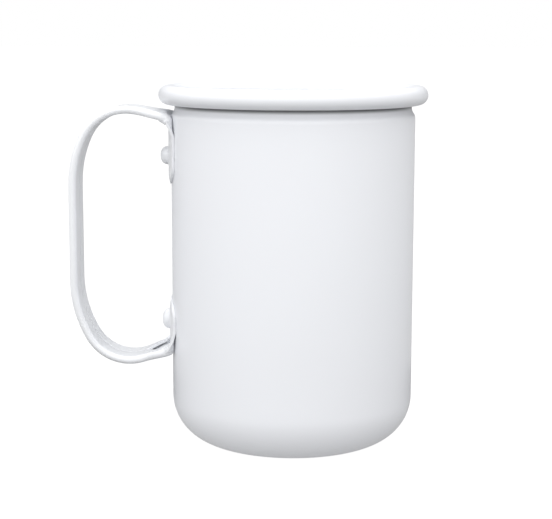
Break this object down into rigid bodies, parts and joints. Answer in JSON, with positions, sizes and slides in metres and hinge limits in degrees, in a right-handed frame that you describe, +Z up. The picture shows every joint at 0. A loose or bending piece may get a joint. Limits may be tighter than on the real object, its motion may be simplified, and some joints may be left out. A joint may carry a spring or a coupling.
{
  "type": "mug",
  "caption": "Straight white-painted sheet-metal mug with a rolled rim and a riveted strap handle.",
  "frame": {"origin": "centre of the flat base, on the surface that the mug stands on", "axes": "+Z up along the cup's axis, the handle points to -X, the picture's view is along +Y"},
  "size_m": [0.1205, 0.0904, 0.1213],
  "materials": {
    "white_paint": "gloss"
  },
  "bodies": {
    "root": {"cup": "white_paint", "handle": "white_paint", "upper_rivet": "white_paint", "lower_rivet": "white_paint"}
  },
  "joints": []
}
